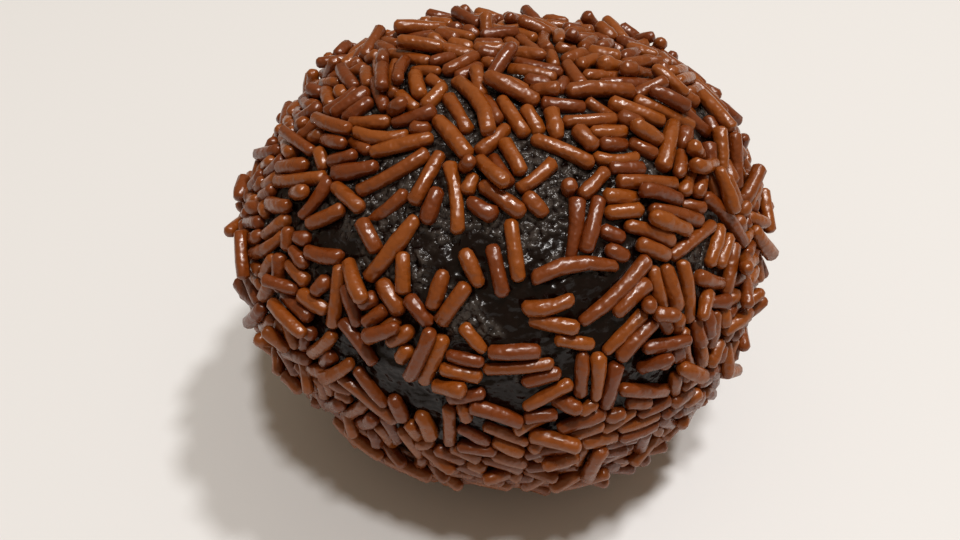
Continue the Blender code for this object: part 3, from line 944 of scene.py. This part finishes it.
def sprinkle_corners(draws):
    """Corners of every sprinkle: its rings from tail to head, then its two tips.

    A ring's middle lies on the axis, moved aside by bend * (1 - share squared), and its corners lie round
    it at middle + width * (side * cos(a) + up * sin(a)).
    """
    tails, heads, radii = strewn["tails"], strewn["heads"], strewn["radii"]
    count = len(radii)
    along = unit(heads - tails)
    middles = (heads + tails) / 2
    _, out = above_mass(shape, middles)
    side = unit(np.cross(along, out))
    up = np.cross(side, along)
    cap_lengths = draws.uniform(*CAP_LENGTHS, count)
    straight, beyond, wide = profile(cap_lengths, draws)
    # A tip always reaches the full length, so a shorter cap starts further out
    half = strewn["spans"] / 2 + radii * (1.0 - cap_lengths)
    reach = half[:, None] * straight + beyond * radii[:, None]
    full = strewn["spans"] / 2 + radii
    share = reach / full[:, None]
    bow = strewn["bends"][:, None] * (1.0 - share**2)
    wide = wide * tapers(share, draws)
    spokes = np.arange(SIDES) * 2 * math.pi / SIDES
    uneven = 1.0 + CORNER_SPREAD * draws.normal(size=(count, len(straight), SIDES))
    ring = (wide * radii[:, None])[:, :, None] * uneven
    centre = middles[:, None, :] + along[:, None, :] * reach[:, :, None] + side[:, None, :] * bow[:, :, None]
    corners = centre[:, :, None, :] + ring[..., None] * (
        side[:, None, None, :] * np.cos(spokes)[:, None] + up[:, None, None, :] * np.sin(spokes)[:, None]
    )
    tips = np.stack([middles - along * full[:, None], middles + along * full[:, None]], axis=1)
    return np.concatenate([corners.reshape(count, -1, 3), tips], axis=1)


def sprinkle_faces(count, block):
    """Faces of every sprinkle, by the number of corners in one: squares between rings, fans to the tips."""
    tail_tip, head_tip = block - 2, block - 1
    rings = tail_tip // SIDES
    here = np.arange(SIDES)
    after = np.roll(here, -1)
    rows = np.arange(rings - 1)[:, None] * SIDES
    quads = np.stack([rows + here, rows + after, rows + after + SIDES, rows + here + SIDES], axis=-1)
    last = (rings - 1) * SIDES
    fans = np.concatenate([
        np.stack([np.full(SIDES, tail_tip), after, here], axis=-1),
        np.stack([np.full(SIDES, head_tip), last + here, last + after], axis=-1),
    ])
    starts = np.arange(count)[:, None, None] * block
    return (quads.reshape(-1, 4) + starts).reshape(-1, 4).tolist() + (fans + starts).reshape(-1, 3).tolist()


def build_sprinkles(material):
    """All sprinkles as one mesh, with each one's tone on its corners."""
    dice = np.random.default_rng(LOOKS_SEED)
    corners = sprinkle_corners(dice)
    count, block, _ = corners.shape
    tone = np.repeat(dice.uniform(size=count), block)
    faces = sprinkle_faces(count, block)
    return make_piece("sprinkles", pressed_flat(corners.reshape(-1, 3)), faces, material, tone=tone)


sprinkles = build_sprinkles(sprinkle_material)

# %% [markdown]
# ## Handing the looks to the solid
#
# The mass and the sprinkles together stand for the one solid that the part has, and move with it.

# %% Ride on the solid
for piece, slot in ((mass, "mass"), (sprinkles, "sprinkles")):
    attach(piece, "root")
    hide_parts("rum_ball")
print("the solid is replaced by", mass.name, "and", sprinkles.name)

# %% [markdown]
# ## Floor
#
# A pale floor without a pattern throws soft light up under the ball. Without it the lower half would drown
# in black.

# %% Floor
FLOOR_SIZE = 4.0
FLOOR_BELOW = 0.1 * MM
FLOOR_COLOUR, FLOOR_ROUGHNESS = (0.735, 0.738, 0.745, 1.0), 0.6

bpy.ops.mesh.primitive_plane_add(size=FLOOR_SIZE, location=(0, 0, -FLOOR_BELOW))
floor = bpy.context.active_object
floor.name = "floor"
floor_finish = Finish("pale floor")
floor_finish.shader.inputs["Base Color"].default_value = FLOOR_COLOUR
floor_finish.shader.inputs["Roughness"].default_value = FLOOR_ROUGHNESS
floor.data.materials.append(floor_finish.material)
print("floor", FLOOR_SIZE, "m wide")

# %% [markdown]
# ## Light
#
# Two softboxes as wide as a lampshade hang almost straight above the ball, one a little in front and one to
# the right. They put the small highlights on each sprinkle and throw two soft shadows that overlap. A weak
# warm sky fills in, and so does the light that the pale floor throws back up under the ball. The contrast
# look deepens the gaps between the sprinkles as a camera's own picture style does.

# %% Lights
LAMP_DISTANCE = 1.2
# Azimuth and elevation in degrees, width in metres, power in watts
LAMPS = (
    (30.0, 80.5, 0.14, 5.7),
    (114.0, 69.0, 0.12, 5.5),
)
LAMP_COLOUR = (1.0, 0.985, 0.97)
SKY_COLOUR = (1.0, 0.83, 0.63, 1.0)
SKY_STRENGTH = 0.28


def aim(made, target):
    """Turns a light or camera to look at a point."""
    made.rotation_euler = (Vector(target) - made.location).to_track_quat("-Z", "Y").to_euler()


def make_light(name, place, size, power, colour):
    """A round area light that looks at the ball."""
    data = bpy.data.lights.new(name, "AREA")
    data.shape = "DISK"
    data.size = size
    data.energy = power
    data.color = colour
    made = bpy.data.objects.new(name, data)
    made.location = place
    bpy.context.scene.collection.objects.link(made)
    aim(made, CENTRE)
    return made


for number, (turn, rise, size, power) in enumerate(LAMPS):
    way = ways_to([turn], [rise])[0]
    make_light(f"lamp_{number}", CENTRE + way * LAMP_DISTANCE, size, power, LAMP_COLOUR)
world = bpy.data.worlds.new("soft sky")
world.use_nodes = True
world.node_tree.nodes["Background"].inputs["Color"].default_value = SKY_COLOUR
world.node_tree.nodes["Background"].inputs["Strength"].default_value = SKY_STRENGTH
bpy.context.scene.world = world
bpy.context.scene.view_settings.view_transform = "Standard"
bpy.context.scene.view_settings.look = "Medium High Contrast"
print(len(LAMPS), "lamps and a weak sky")

# %% [markdown]
# ## Camera
#
# The picture is a close-up. The lens is less than two ball widths from the surface, so the near side looms
# large and less than half of the ball can be seen. The distance sets how strongly it looms, and the
# picture's width in degrees then follows from the size of the ball in it. The lens and the camera's
# elevation were chosen. Its distance and its two turns came out of the same fit as the swellings.

# %% Camera
PICTURE_WIDTH = 960
FOCAL_PIXELS = 916.0
SENSOR_WIDTH = 36.0
CAMERA_DISTANCE = 106.2 * MM
CAMERA_ELEVATION = 42.3
LOOKING_DOWN = math.radians(44.35)
LOOKING_LEFT = math.radians(2.29)
NEAREST_SEEN = 5.0 * MM

camera_data = bpy.data.cameras.new("close-up")
camera_data.sensor_width = SENSOR_WIDTH
camera_data.lens = SENSOR_WIDTH * FOCAL_PIXELS / PICTURE_WIDTH
camera_data.clip_start = NEAREST_SEEN
camera = bpy.data.objects.new("camera", camera_data)
camera.location = CENTRE + ways_to([0.0], [CAMERA_ELEVATION])[0] * CAMERA_DISTANCE
camera.rotation_euler = (math.pi / 2 - LOOKING_DOWN, 0.0, LOOKING_LEFT)
bpy.context.scene.collection.objects.link(camera)
bpy.context.scene.camera = camera
print(f"lens {camera_data.lens:.1f} mm, {CAMERA_DISTANCE / MM:.0f} mm from the middle of the ball")
